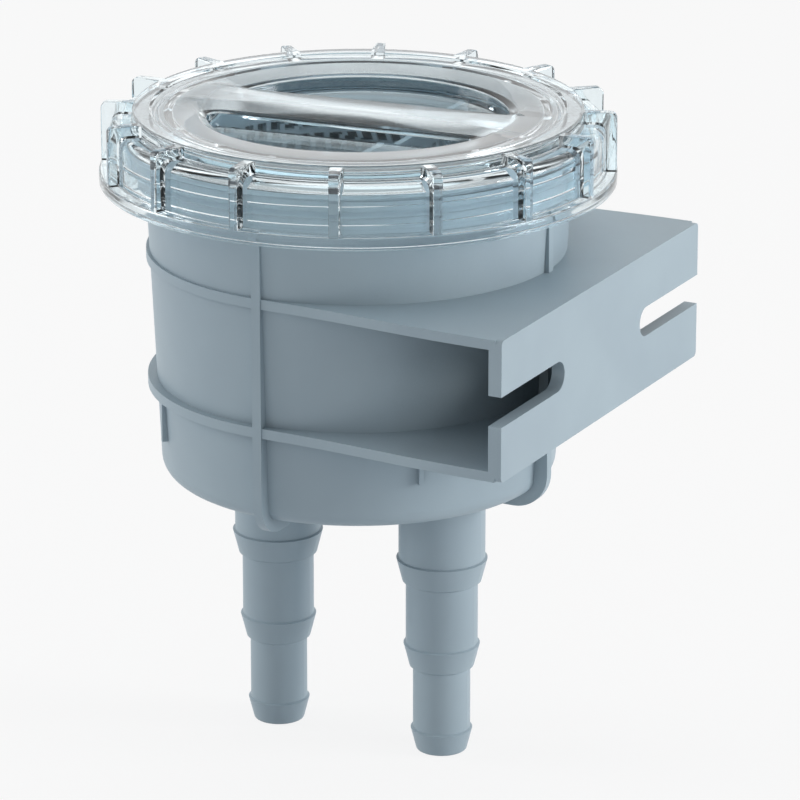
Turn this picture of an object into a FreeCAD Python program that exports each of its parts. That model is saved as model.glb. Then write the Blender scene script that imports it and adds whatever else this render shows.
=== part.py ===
import FreeCAD, Part
import math
import os
import Sketcher

# Sea water strainer: a moulded housing with a wall bracket and two stepped hose barbs,
# a clear screw lid, a seal ring under the lid and a mesh basket inside.
# Lengths are millimetres. Z is up, the canister stands on the line x = -axis_reach,
# and the origin is the middle of the bracket's mounting face, which looks along +X.

Vector = FreeCAD.Vector
UP = Vector(0, 0, 1)

doc = FreeCAD.newDocument("sea_water_strainer")
sheet = doc.addObject("Spreadsheet::Sheet", "sizes")

# Each size is written once, here.
SIZES = [
    # bracket
    ("axis_reach", 58.8),          # canister axis to mounting face
    ("bracket_width", 97.5),
    ("bracket_height", 30.8),
    ("face_thickness", 3.0),
    ("face_round", 1.2),
    ("shelf_thickness", 2.2),      # both shelves and the hoops that carry on round the bowl
    ("slot_width", 6.6),
    ("slot_depth", 30.0),          # from the bracket's side edge to the slot's round end
    # bowl
    ("bowl_radius", 46.0),         # outside, where the neck begins
    ("bowl_draft", 2.9),           # how much narrower it is at its floor
    ("bowl_depth", 35.5),          # bracket's middle to the underside of the floor
    ("bowl_round", 4.0),
    ("wall_thickness", 2.4),
    ("floor_thickness", 3.0),
    ("inner_round", 2.0),
    ("neck_height", 10.0),
    ("neck_step", 2.8),            # from the bowl out to the neck
    ("thread_room", 2.4),          # between neck and lid skirt, where the thread runs
    # hoops, upright ribs and stub ribs
    ("hoop_proud", 0.1),
    ("rib_count", 4),
    ("rib_proud", 0.4),
    ("rib_thickness", 2.1),
    ("rib_foot", 2.9),             # below the floor
    ("rib_foot_round", 8.0),
    ("rib_reach", 13.4),           # from its outside in under the floor
    ("stub_length", 10.0),
    ("stub_thickness", 1.0),
    ("stub_proud", 0.8),
    # ports and hose barbs
    ("port_offset", 20.5),
    ("hose_radius_a", 9.55),       # three quarter inch hose
    ("hose_radius_b", 7.95),       # five eighths inch hose
    ("hose_radius_c", 6.35),       # half inch hose
    ("barb_first", 18.05),         # floor to the first barb's edge
    ("barb_step", 20.0),
    ("barb_height", 0.5),
    ("barb_taper", 5.1),
    ("barb_drop", 1.3),            # how much a barb narrows along its taper
    ("pipe_wall", 2.1),
    ("bore_cone", 2.0),
    ("well_radius", 12.2),
    ("well_chord", 7.6),
    ("well_wall", 1.4),
    ("well_height", 6.5),
    ("well_corner", 1.5),
    # lid
    ("lid_top", 46.4),             # bracket's middle to the rim's top
    ("lid_height", 16.2),
    ("skirt_thickness", 2.4),
    ("rim_inset", 4.9),            # skirt's outside to the rim's outside
    ("rim_width", 3.7),
    ("rim_step", 2.8),
    ("rim_depth", 4.4),            # rim's top to the seal's top
    ("rim_slope", 0.6),
    ("dish_drop", 0.4),
    ("plate_thickness", 2.4),
    ("shoulder_wall", 2.4),
    ("shoulder_round", 2.2),
    ("flange_width", 2.4),
    ("flange_thickness", 2.9),
    ("edge_round", 0.5),
    ("fin_count", 16),
    ("fin_thickness", 2.2),
    ("fin_round", 1.5),
    ("fin_drop", 0.2),
    ("fin_inset", 0.15),
    ("pocket_inset", 11.7),        # dish's edge to the pocket walls
    ("bar_base", 17.6),            # grip bar's width at the pocket walls
    ("bar_turn", 6.0),             # grip bar's angle to the X axis, in degrees
    ("pocket_depth", 5.0),
    ("pocket_slope", 3.3),         # sloped lip round a pocket, across
    ("pocket_lip", 1.6),           # and down
    ("pocket_corner", 2.5),
    ("pocket_wall", 2.2),
    ("collar_clearance", 1.6),     # to the bowl's inside
    ("collar_thickness", 1.6),
    ("collar_length", 6.0),
    ("notch_width", 2.0),
    ("notch_height", 1.6),
    ("lip_thickness", 1.0),
    ("lip_height", 1.2),
    # seal ring
    ("seal_inset", 0.9),           # from the bowl's inside
    ("seal_width", 3.8),
    ("seal_thickness", 3.0),
    ("seal_round", 0.4),
    ("seal_clearance", 0.4),
    # strainer basket
    ("basket_clearance", 1.1),     # to the bowl's inside at its floor
    ("basket_chord", 8.0),
    ("basket_wall", 1.6),
    ("basket_corner", 3.0),
    ("basket_gap", 1.0),           # under the lid's pockets
    ("mesh_hole", 3.6),
    ("mesh_pitch", 6.9),
    ("mesh_margin", 4.0),
]
for row, (alias, value) in enumerate(SIZES, start=1):
    sheet.set("A%d" % row, alias)
    sheet.set("B%d" % row, str(value))
    sheet.setAlias("B%d" % row, alias)
doc.recompute()


def size(alias):
    return float(sheet.get(alias))


# Levels and radii that follow from the sizes, as expressions.
TOP = "sizes.lid_top"
FLANGE_BASE = "(sizes.lid_top - sizes.lid_height)"
FLANGE_TOP = "(sizes.lid_top - sizes.lid_height + sizes.flange_thickness)"
SHOULDER = "(sizes.lid_top - sizes.rim_step)"
SEAL_TOP = "(sizes.lid_top - sizes.rim_depth)"
MOUTH = "(sizes.lid_top - sizes.rim_depth - sizes.seal_thickness)"
PLATE_TOP = "(sizes.lid_top - sizes.dish_drop)"
PLATE_BASE = "(sizes.lid_top - sizes.dish_drop - sizes.plate_thickness)"
NECK_BASE = "(%s - sizes.neck_height)" % MOUTH
FLOOR_BASE = "(-sizes.bowl_depth)"
FLOOR_TOP = "(sizes.floor_thickness - sizes.bowl_depth)"
SHELF_BASE = "(-sizes.bracket_height / 2)"
BOWL_BASE_RADIUS = "(sizes.bowl_radius - sizes.bowl_draft)"
BOWL_INSIDE = "(sizes.bowl_radius - sizes.wall_thickness)"
STUB_TOP_RADIUS = "(%s + sizes.bowl_draft * (%s - %s) / (%s - %s))" % (
    BOWL_BASE_RADIUS, SHELF_BASE, FLOOR_BASE, NECK_BASE, FLOOR_BASE)
RIB_RADIUS = "(sizes.bowl_radius + sizes.rib_proud)"
NECK_RADIUS = "(sizes.bowl_radius + sizes.neck_step)"
SKIRT_INNER = "(%s + sizes.thread_room)" % NECK_RADIUS
SKIRT_RADIUS = "(%s + sizes.skirt_thickness)" % SKIRT_INNER
FLANGE_RADIUS = "(%s + sizes.flange_width)" % SKIRT_RADIUS
RIM_RADIUS = "(%s - sizes.rim_inset)" % SKIRT_RADIUS
DISH_RADIUS = "(%s - sizes.rim_width - sizes.rim_slope)" % RIM_RADIUS
SEAL_INNER = "(%s + sizes.seal_inset)" % BOWL_INSIDE
SEAL_OUTER = "(%s + sizes.seal_width)" % SEAL_INNER
COLLAR_RADIUS = "(%s - sizes.collar_clearance)" % BOWL_INSIDE

# The same as numbers, for the shapes built from curves.
plateTop = size("lid_top") - size("dish_drop")
plateBase = plateTop - size("plate_thickness")
pocketFloor = plateTop - size("pocket_depth")
floorTop = size("floor_thickness") - size("bowl_depth")
basketFloor = floorTop + size("well_height")
basketTop = pocketFloor - size("pocket_wall") - size("basket_gap")
bowlBaseRadius = size("bowl_radius") - size("bowl_draft")
basketRadius = bowlBaseRadius - size("wall_thickness") - size("basket_clearance")
skirtRadius = (size("bowl_radius") + size("neck_step") + size("thread_room")
               + size("skirt_thickness"))
flangeRadius = skirtRadius + size("flange_width")
rimRadius = skirtRadius - size("rim_inset")
pocketRadius = rimRadius - size("rim_width") - size("rim_slope") - size("pocket_inset")
sealInner = size("bowl_radius") - size("wall_thickness") + size("seal_inset")
sealOuter = sealInner + size("seal_width")


def bind(thing, **expressions):
    for prop, expression in expressions.items():
        thing.setExpression(prop.replace("_at_", ".Base."), expression)


def place(thing, x=None, y=None, z=None):
    for letter, expression in (("x", x), ("y", y), ("z", z)):
        if expression is not None:
            thing.setExpression("Placement.Base.%s" % letter, expression)


def turned(name, stations):
    # A solid of revolution about Z. Each station is a radius and a height; radius 0 is on the axis.
    sketch = doc.addObject("Sketcher::SketchObject", name + "_profile")
    sketch.Placement = FreeCAD.Placement(Vector(), FreeCAD.Rotation(Vector(1, 0, 0), 90))
    count = len(stations)
    start = [Vector(10 + 3 * k, 2 * k + k * k % 5, 0) for k in range(count)]
    for k in range(count):
        sketch.addGeometry(Part.LineSegment(start[k], start[(k + 1) % count]), False)
    for k in range(count):
        sketch.addConstraint(Sketcher.Constraint("Coincident", k, 2, (k + 1) % count, 1))
    for k, (radius, height) in enumerate(stations):
        if radius == 0:
            sketch.addConstraint(Sketcher.Constraint("PointOnObject", k, 1, -2))
        else:
            across = Sketcher.Constraint("DistanceX", -1, 1, k, 1, start[k].x)
            sketch.setExpression("Constraints[%d]" % sketch.addConstraint(across), radius)
        up = Sketcher.Constraint("DistanceY", -1, 1, k, 1, start[k].y)
        sketch.setExpression("Constraints[%d]" % sketch.addConstraint(up), height)
    doc.recompute()
    solid = doc.addObject("Part::Revolution", name + "_turned")
    solid.Source = sketch
    solid.Axis = UP
    solid.Base = Vector()
    solid.Angle = 360
    solid.Solid = True
    doc.recompute()
    return solid


def rounded(name, base, picks):
    # Rounds edges of a shape. Each pick is a test on an edge's middle point, and a radius.
    doc.recompute()
    edges = []
    for index, edge in enumerate(base.Shape.Edges, start=1):
        middle = edge.valueAt((edge.FirstParameter + edge.LastParameter) / 2)
        for test, radius in picks:
            if test(edge, middle):
                edges.append((index, radius, radius))
    feature = doc.addObject("Part::Fillet", name)
    feature.Base = base
    feature.Edges = edges
    doc.recompute()
    return feature


def circleAt(radius, level):
    # Test for the circle of this radius about Z at this height.
    def test(edge, middle):
        return (abs(math.hypot(middle.x, middle.y) - radius) < 0.02
                and abs(middle.z - level) < 0.02 and edge.Length > radius)
    return test


def fused(name, parts):
    feature = doc.addObject("Part::MultiFuse", name)
    feature.Shapes = parts
    feature.Refine = True
    return feature


def cut(name, base, tool):
    feature = doc.addObject("Part::Cut", name)
    feature.Base = base
    feature.Tool = tool
    feature.Refine = True
    return feature


def held(name, part):
    # A holder, so that a placed part can be moved or turned again as a whole.
    feature = doc.addObject("Part::Compound", name)
    feature.Links = [part]
    return feature


def curved(name, shape):
    feature = doc.addObject("Part::Feature", name)
    feature.Shape = shape
    return feature


def aboutZ(degrees, x=0.0):
    return FreeCAD.Placement(Vector(x, 0, 0), FreeCAD.Rotation(UP, degrees))


def capWire(radius, chord, corner, level):
    # A disc cut off along y = -chord, keeping the side towards -Y, with round corners.
    reach = math.sqrt((radius - corner) ** 2 - (chord + corner) ** 2)
    centre = Vector(reach, -chord - corner, level)
    mirrored = Vector(-reach, -chord - corner, level)
    grow = radius / (radius - corner)
    outer = Vector(centre.x * grow, centre.y * grow, level)
    outerMirrored = Vector(-outer.x, outer.y, level)
    flat = Vector(reach, -chord, level)
    flatMirrored = Vector(-reach, -chord, level)

    def bulge(middle, a, b):
        towards = (a - middle) + (b - middle)
        return middle + towards * (corner / towards.Length)

    far = Vector(0, -radius, level)
    edges = [
        Part.makeLine(flatMirrored, flat),
        Part.Arc(flat, bulge(centre, flat, outer), outer).toShape(),
        Part.Arc(outer, far, outerMirrored).toShape(),
        Part.Arc(outerMirrored, bulge(mirrored, flatMirrored, outerMirrored), flatMirrored).toShape(),
    ]
    return Part.Wire(edges)


def capPrism(radius, chord, corner, low, high):
    face = Part.Face(capWire(radius, chord, corner, low))
    return face.extrude(Vector(0, 0, high - low))


# Housing: bowl, neck, hoops and shelves, ribs, mounting face, barbs.

def makeBowl():
    body = turned("bowl", [
        (0, FLOOR_BASE),
        (BOWL_BASE_RADIUS, FLOOR_BASE),
        ("sizes.bowl_radius", NECK_BASE),
        (NECK_RADIUS, NECK_BASE + " + sizes.neck_step"),
        (NECK_RADIUS, MOUTH),
        (0, MOUTH),
    ])
    corner = circleAt(bowlBaseRadius, -size("bowl_depth"))
    return rounded("bowl_outside", body, [(corner, size("bowl_round"))])


def makeHollow():
    room = turned("bowl_room", [
        (0, FLOOR_TOP),
        (BOWL_BASE_RADIUS + " - sizes.wall_thickness", FLOOR_TOP),
        (BOWL_INSIDE, MOUTH),
        (BOWL_INSIDE, MOUTH + " + 1"),
        (0, MOUTH + " + 1"),
    ])
    corner = circleAt(bowlBaseRadius - size("wall_thickness"), floorTop)
    return rounded("bowl_inside", room, [(corner, size("inner_round"))])


def makeShelf(name, level):
    # One plate: a hoop round the bowl whose sides sweep out to the mounting face's full width.
    hoop = size("bowl_radius") + size("hoop_proud")
    reach = size("axis_reach") - size("face_thickness") / 2
    half = size("bracket_width") / 2
    sweep = []
    for side in (-1, 1):
        curve = Part.BezierCurve()
        curve.setPoles([
            Vector(0, side * hoop, 0),
            Vector(reach * 0.45, side * hoop, 0),
            Vector(reach * 0.55, side * half, 0),
            Vector(reach, side * half, 0),
        ])
        sweep.append(curve.toShape())
    back = Part.Arc(Vector(0, hoop, 0), Vector(-hoop, 0, 0), Vector(0, -hoop, 0)).toShape()
    end = Part.makeLine(Vector(reach, -half, 0), Vector(reach, half, 0))
    outline = Part.Wire(Part.sortEdges([back, sweep[0], end, sweep[1]])[0])
    plate = curved(name, Part.Face(outline).extrude(Vector(0, 0, size("shelf_thickness"))))
    place(plate, z=level)
    return plate


def makeFace():
    plate = doc.addObject("Part::Box", "mounting_plate")
    bind(plate, Length="sizes.face_thickness", Width="sizes.bracket_width", Height="sizes.bracket_height")
    place(plate, "sizes.axis_reach - sizes.face_thickness", "-sizes.bracket_width / 2",
          "-sizes.bracket_height / 2")
    half = size("bracket_width") / 2
    level = size("bracket_height") / 2

    def corner(edge, middle):
        return abs(abs(middle.y) - half) < 0.01 and abs(abs(middle.z) - level) < 0.01
    return rounded("mounting_plate_rounded", plate, [(corner, size("face_round"))])


def makeSlots():
    cutters = []
    for side in (-1, 1):
        run = doc.addObject("Part::Box", "slot_run")
        bind(run, Length="sizes.face_thickness + 2", Width="sizes.slot_depth - sizes.slot_width / 2 + 2",
             Height="sizes.slot_width")
        start = "sizes.bracket_width / 2 - sizes.slot_depth + sizes.slot_width / 2"
        if side < 0:
            start = "-sizes.bracket_width / 2 - 2"
        place(run, "sizes.axis_reach - sizes.face_thickness - 1", start, "-sizes.slot_width / 2")
        end = doc.addObject("Part::Cylinder", "slot_end")
        bind(end, Radius="sizes.slot_width / 2", Height="sizes.face_thickness + 2")
        end.Placement = FreeCAD.Placement(Vector(), FreeCAD.Rotation(Vector(0, 1, 0), 90))
        place(end, "sizes.axis_reach - sizes.face_thickness - 1",
              "%d * (sizes.bracket_width / 2 - sizes.slot_depth + sizes.slot_width / 2)" % side, "0")
        cutters += [run, end]
    return cutters


def makeRibs():
    ribs = []
    count = int(size("rib_count"))
    for k in range(count):
        blade = doc.addObject("Part::Box", "rib_blade")
        bind(blade, Length="sizes.rib_reach", Width="sizes.rib_thickness",
             Height="%s - %s + sizes.rib_foot + 1" % (NECK_BASE, FLOOR_BASE))
        place(blade, RIB_RADIUS + " - sizes.rib_reach", "-sizes.rib_thickness / 2",
              FLOOR_BASE + " - sizes.rib_foot")
        foot = -size("bowl_depth") - size("rib_foot")
        outer = size("bowl_radius") + size("rib_proud")
        inner = outer - size("rib_reach")

        def nose(edge, middle):
            return abs(middle.x - outer) < 0.01 and abs(middle.z - foot) < 0.01

        def heel(edge, middle):
            return abs(middle.x - inner) < 0.01 and abs(middle.z - foot) < 0.01
        rib = rounded("rib", blade, [(nose, size("rib_foot_round")), (heel, size("rib_foot") * 0.6)])
        rib.Placement = aboutZ(360.0 * k / count)
        ribs.append(rib)
        stub = doc.addObject("Part::Box", "stub")
        bind(stub, Length="sizes.wall_thickness / 2 + sizes.stub_proud", Width="sizes.stub_thickness",
             Height="sizes.stub_length + 1")
        place(stub, STUB_TOP_RADIUS + " - sizes.wall_thickness / 2", "-sizes.stub_thickness / 2",
              SHELF_BASE + " - sizes.stub_length")
        holder = held("stub_turned", stub)
        holder.Placement = aboutZ(360.0 * (k + 0.5) / count)
        ribs.append(holder)
    return ribs


def makeBarbs():
    # Three hose sizes in a row. Each barb has a sharp upper edge and narrows downwards.
    radii = ["sizes.hose_radius_a", "sizes.hose_radius_b", "sizes.hose_radius_c"]
    stations = [(0, FLOOR_BASE + " + 1"), (radii[0], FLOOR_BASE + " + 1")]
    for k, radius in enumerate(radii):
        edge = "(%s - sizes.barb_first - %d * sizes.barb_step)" % (FLOOR_BASE, k)
        tip = "%s - sizes.barb_taper" % edge
        stations.append((radius, edge + " + sizes.barb_height / 2"))
        stations.append((radius + " + sizes.barb_height", edge))
        stations.append((radius + " + sizes.barb_height - sizes.barb_drop", tip))
        if k + 1 < len(radii):
            stations.append((radii[k + 1], tip + " - 0.5"))
    last = "(%s - sizes.barb_first - %d * sizes.barb_step)" % (FLOOR_BASE, len(radii) - 1)
    stations.append((0, last + " - sizes.barb_taper"))
    stem = turned("barb", stations)
    level = -size("bowl_depth") - size("barb_first") - 2 * size("barb_step") - size("barb_taper")
    tipRadius = size("hose_radius_c") + size("barb_height") - size("barb_drop")
    return rounded("barb_stem", stem, [(circleAt(tipRadius, level), 0.6)])


def makeBore():
    wall = " - sizes.pipe_wall"
    radii = ["sizes.hose_radius_a" + wall, "sizes.hose_radius_b" + wall, "sizes.hose_radius_c" + wall]
    first = "(%s - sizes.barb_first)" % FLOOR_BASE
    second = "(%s - sizes.barb_step)" % first
    return turned("bore", [
        (0, FLOOR_TOP + " + 1"),
        (radii[0] + " + sizes.bore_cone + 1", FLOOR_TOP + " + 1"),
        (radii[0], FLOOR_TOP + " - sizes.bore_cone"),
        (radii[0], first),
        (radii[1], first + " - sizes.bore_cone"),
        (radii[1], second),
        (radii[2], second + " - sizes.bore_cone"),
        (radii[2], second + " - sizes.barb_step - sizes.barb_taper - 1"),
        (0, second + " - sizes.barb_step - sizes.barb_taper - 1"),
    ])


def makeWell(name):
    # A low wall round each port, with its flat side towards the canister's axis.
    wall = size("well_wall")
    outer = capPrism(size("well_radius") + wall, -size("well_chord") - wall,
                     size("well_corner") + wall, floorTop - wall, basketFloor)
    inner = capPrism(size("well_radius"), -size("well_chord"), size("well_corner"),
                     floorTop - 2 * wall, basketFloor + 1)
    return curved(name, outer.cut(inner))


def makeHousing():
    shelfTop = makeShelf("upper_shelf", "sizes.bracket_height / 2 - sizes.shelf_thickness")
    shelfBase = makeShelf("lower_shelf", "-sizes.bracket_height / 2")
    stem = makeBarbs()
    bore = makeBore()
    outside = [makeBowl(), shelfTop, shelfBase, makeFace()] + makeRibs()
    wells = []
    bores = []
    for side, name in ((-1, "under_basket"), (1, "beside_basket")):
        spigot = held("spigot_" + name, stem)
        place(spigot, "%d * sizes.port_offset" % side)
        outside.append(spigot)
        way = held("way_" + name, bore)
        place(way, "%d * sizes.port_offset" % side)
        bores.append(way)
        well = makeWell("well_" + name)
        well.Placement = aboutZ(90.0 * side)
        place(well, "%d * sizes.port_offset" % side)
        wells.append(well)
    solid = fused("housing_outside", outside)
    opened = cut("housing_opened", solid, fused("housing_room", [makeHollow()] + makeSlots()))
    return cut("housing", fused("housing_with_wells", [opened] + wells), fused("port_bores", bores))


# Seal ring: flat, held under the lid's rim round a low lip.

def makeSeal():
    ring = turned("seal", [
        (SEAL_INNER, SEAL_TOP),
        (SEAL_OUTER, SEAL_TOP),
        (SEAL_OUTER, MOUTH),
        (SEAL_INNER, MOUTH),
    ])
    top = size("lid_top") - size("rim_depth")
    base = top - size("seal_thickness")
    picks = [(circleAt(radius, level), size("seal_round"))
             for radius in (sealInner, sealOuter) for level in (top, base)]
    return rounded("seal_ring", ring, picks)


# Lid: one clear moulding with a skirt, a flange, fins to turn it by and two finger pockets
# that leave a grip bar between them.

def makeFins():
    fins = []
    count = int(size("fin_count"))
    outer = flangeRadius - size("fin_inset")
    top = size("lid_top") - size("fin_drop")

    def crest(edge, middle):
        return abs(middle.x - outer) < 0.01 and abs(middle.z - top) < 0.01
    for k in range(count):
        blade = doc.addObject("Part::Box", "fin_blade")
        bind(blade, Length="sizes.rim_inset + sizes.flange_width - sizes.fin_inset + 1",
             Width="sizes.fin_thickness",
             Height="sizes.lid_height - sizes.fin_drop - sizes.flange_thickness / 2")
        place(blade, RIM_RADIUS + " - 1", "-sizes.fin_thickness / 2",
              FLANGE_TOP + " - sizes.flange_thickness / 2")
        fin = rounded("fin", blade, [(crest, size("fin_round"))])
        fin.Placement = aboutZ(360.0 * k / count)
        fins.append(fin)
    return fins


def makeNotches():
    notches = []
    count = int(size("fin_count"))
    for k in range(count):
        block = doc.addObject("Part::Box", "notch_block")
        bind(block, Length="sizes.collar_thickness + 1", Width="sizes.notch_width",
             Height="sizes.notch_height + 1")
        place(block, COLLAR_RADIUS + " - sizes.collar_thickness - 0.5", "-sizes.notch_width / 2",
              PLATE_BASE + " - sizes.collar_length - 1")
        notch = held("notch", block)
        notch.Placement = aboutZ(360.0 * k / count)
        notches.append(notch)
    return notches


def makePocket(name, degrees):
    chord = size("bar_base") / 2
    slope = size("pocket_slope")
    lip = plateTop - size("pocket_lip")
    corner = size("pocket_corner")
    well = capPrism(pocketRadius, chord, corner, pocketFloor, lip + 0.01)
    rise = 0.5
    spread = slope * (1 + rise / size("pocket_lip"))
    mouth = Part.makeLoft([
        capWire(pocketRadius, chord, corner, lip),
        capWire(pocketRadius + spread, chord - spread, corner + spread / 2, plateTop + rise),
    ], True, True)
    pocket = curved(name, well.fuse(mouth))
    pocket.Placement = aboutZ(degrees + size("bar_turn"))
    return pocket


def makeCup(name, degrees):
    wall = size("pocket_wall")
    cup = curved(name, capPrism(pocketRadius + wall, size("bar_base") / 2 - wall,
                                size("pocket_corner") + wall, pocketFloor - wall, plateBase + 0.5))
    cup.Placement = aboutZ(degrees + size("bar_turn"))
    return cup


def makeLid():
    shell = turned("lid_outside", [
        (0, PLATE_TOP),
        (DISH_RADIUS, PLATE_TOP),
        (DISH_RADIUS + " + sizes.rim_slope", TOP),
        (RIM_RADIUS, TOP),
        (RIM_RADIUS, SHOULDER),
        (SKIRT_RADIUS, SHOULDER),
        (SKIRT_RADIUS, FLANGE_TOP),
        (FLANGE_RADIUS, FLANGE_TOP),
        (FLANGE_RADIUS, FLANGE_BASE),
        (0, FLANGE_BASE),
    ])
    top = size("lid_top")
    base = top - size("lid_height")
    soft = rounded("lid_rounded", shell, [
        (circleAt(skirtRadius, top - size("rim_step")), size("shoulder_round")),
        (circleAt(rimRadius, top), size("edge_round")),
        (circleAt(flangeRadius, base), size("edge_round")),
        (circleAt(flangeRadius, base + size("flange_thickness")), size("edge_round")),
    ])
    collarBase = PLATE_BASE + " - sizes.collar_length"
    grooveOuter = SEAL_OUTER + " + sizes.seal_clearance"
    lipOuter = SEAL_INNER + " - sizes.seal_clearance"
    room = turned("lid_room", [
        (0, FLANGE_BASE + " - 1"),
        (SKIRT_INNER, FLANGE_BASE + " - 1"),
        (SKIRT_INNER, SHOULDER + " - sizes.shoulder_wall"),
        (grooveOuter, SHOULDER + " - sizes.shoulder_wall"),
        (grooveOuter, SEAL_TOP),
        (lipOuter, SEAL_TOP),
        (lipOuter, SEAL_TOP + " - sizes.lip_height"),
        (lipOuter + " - sizes.lip_thickness", SEAL_TOP + " - sizes.lip_height"),
        (lipOuter + " - sizes.lip_thickness", PLATE_BASE),
        (COLLAR_RADIUS, PLATE_BASE),
        (COLLAR_RADIUS, collarBase),
        (COLLAR_RADIUS + " - sizes.collar_thickness", collarBase),
        (COLLAR_RADIUS + " - sizes.collar_thickness", PLATE_BASE),
        (0, PLATE_BASE),
    ])
    finned = fused("lid_finned", [soft] + makeFins())
    hollow = cut("lid_hollow", finned, room)
    cups = fused("lid_with_cups", [hollow, makeCup("cup_front", 0), makeCup("cup_back", 180)])
    cutters = [makePocket("pocket_front", 0), makePocket("pocket_back", 180)] + makeNotches()
    return cut("lid", cups, fused("lid_cutters", cutters))


# Strainer basket: a cup with a flat side, with square holes in its floor and walls.

def meshCutters():
    hole = size("mesh_hole")
    pitch = size("mesh_pitch")
    wall = size("basket_wall")
    radius = basketRadius
    chord = size("basket_chord")
    margin = size("mesh_margin")
    blocks = []

    def spread(low, high):
        # Centres of as many holes as fit between two ends, evenly about the middle.
        count = int((high - low - hole) // pitch) + 1
        first = (low + high) / 2 - (count - 1) * pitch / 2
        return [first + k * pitch for k in range(count)]

    def block(along, across, up):
        box = Part.makeBox(along, across, up)
        box.translate(Vector(-along / 2, -across / 2, -up / 2))
        return box

    levels = spread(basketFloor + margin, basketTop - margin)
    inside = radius - wall - margin
    for x in spread(-inside, chord - wall - margin / 2):
        for y in spread(-inside, inside):
            if math.hypot(abs(x) + hole / 2, abs(y) + hole / 2) < inside:
                box = block(hole, hole, wall + 1)
                box.translate(Vector(x, y, basketFloor + wall / 2))
                blocks.append(box)
    flat = math.sqrt(radius ** 2 - chord ** 2) - size("basket_corner") - margin
    for y in spread(-flat, flat):
        for z in levels:
            box = block(wall + 1, hole, hole)
            box.translate(Vector(chord - wall / 2, y, z))
            blocks.append(box)
    swing = math.degrees(math.acos(chord / radius)) + math.degrees((size("basket_corner") + margin) / radius)
    step = math.degrees(pitch / radius)
    count = int((360 - 2 * swing) // step)
    for k in range(count):
        angle = 180 + (k - (count - 1) / 2) * step
        for z in levels:
            box = block(wall + 1, hole, hole)
            box.translate(Vector(radius - wall / 2, 0, z))
            box.rotate(Vector(), UP, angle)
            blocks.append(box)
    return Part.makeCompound(blocks)


def makeBasket():
    wall = size("basket_wall")
    radius = basketRadius
    chord = -size("basket_chord")
    corner = size("basket_corner")
    outside = curved("basket_outside", capPrism(radius, chord, corner, basketFloor, basketTop))
    inside = curved("basket_inside", capPrism(radius - wall, chord + wall, corner - wall / 2,
                                              basketFloor + wall, basketTop + 1))
    for form in (outside, inside):
        form.Placement = aboutZ(-90)
    cup = cut("basket_cup", outside, inside)
    return cut("strainer_basket", cup, curved("mesh_cutters", meshCutters()))


parts = {
    "housing": makeHousing(),
    "seal_ring": makeSeal(),
    "lid": makeLid(),
    "strainer_basket": makeBasket(),
}
for label, part in parts.items():
    part.Label = label
    place(part, "-sizes.axis_reach")
doc.recompute()

for item in doc.Objects:
    if "Invalid" in item.State or "Error" in item.State:
        raise RuntimeError("%s did not compute" % item.Label)
for label, part in parts.items():
    shape = part.Shape
    if shape.isNull() or not shape.isValid() or len(shape.Solids) != 1:
        raise RuntimeError("%s is not one sound solid" % label)

os.makedirs("parts", exist_ok=True)
for label, part in parts.items():
    part.Shape.exportStep("parts/%s.step" % label)
    box = part.Shape.optimalBoundingBox()
    print("%s: %.0f mm3, x %.1f to %.1f, y %.1f to %.1f, z %.1f to %.1f" % (
        label, part.Shape.Volume, box.XMin, box.XMax, box.YMin, box.YMax, box.ZMin, box.ZMax))
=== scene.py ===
import math

import bmesh
import bpy
from mathutils import Matrix, Vector


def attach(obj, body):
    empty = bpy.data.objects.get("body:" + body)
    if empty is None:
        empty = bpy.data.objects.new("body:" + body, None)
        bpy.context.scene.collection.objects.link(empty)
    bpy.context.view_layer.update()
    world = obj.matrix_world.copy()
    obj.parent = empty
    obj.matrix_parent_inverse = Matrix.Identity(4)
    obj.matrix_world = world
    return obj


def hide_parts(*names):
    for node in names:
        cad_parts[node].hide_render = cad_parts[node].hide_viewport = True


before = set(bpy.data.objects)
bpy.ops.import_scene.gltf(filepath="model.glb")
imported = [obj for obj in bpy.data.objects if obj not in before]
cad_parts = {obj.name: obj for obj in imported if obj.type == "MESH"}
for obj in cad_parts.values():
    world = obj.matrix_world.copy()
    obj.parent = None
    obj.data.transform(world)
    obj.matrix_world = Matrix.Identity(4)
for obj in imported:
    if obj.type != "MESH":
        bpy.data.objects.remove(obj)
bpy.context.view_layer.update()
scene = bpy.context.scene
mm = 0.001
axisX = -58.8  # canister's axis, in millimetres from the mounting face
weldGap = 1e-7  # corners closer than this are one


def linear(*channels):
    # colours are written as 0-255 screen values
    shares = [channel / 255 for channel in channels]
    made = [s / 12.92 if s <= 0.04045 else ((s + 0.055) / 1.055) ** 2.4 for s in shares]
    return (*made, 1.0)


def newObject(name, mesh):
    thing = bpy.data.objects.new(name, mesh)
    scene.collection.objects.link(thing)
    return thing


def meshFrom(name, vertices, faces, dropSlivers=False):
    # corners are in millimetres
    mesh = bpy.data.meshes.new(name)
    mesh.from_pydata([Vector(v) * mm for v in vertices], [], faces)
    form = bmesh.new()
    form.from_mesh(mesh)
    bmesh.ops.remove_doubles(form, verts=form.verts, dist=weldGap)
    if dropSlivers:
        bmesh.ops.dissolve_degenerate(form, dist=weldGap / 10, edges=form.edges)
    bmesh.ops.recalc_face_normals(form, faces=form.faces)
    form.to_mesh(mesh)
    form.free()
    return mesh


def smoothBelow(thing, degrees):
    for polygon in thing.data.polygons:
        polygon.use_smooth = True
    thing.data.set_sharp_from_angle(angle=math.radians(degrees))


def allIn(mesh, material):
    # gives every face of the mesh the one material
    mesh.materials.clear()
    mesh.materials.append(material)
    for polygon in mesh.polygons:
        polygon.material_index = 0
    return mesh


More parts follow.
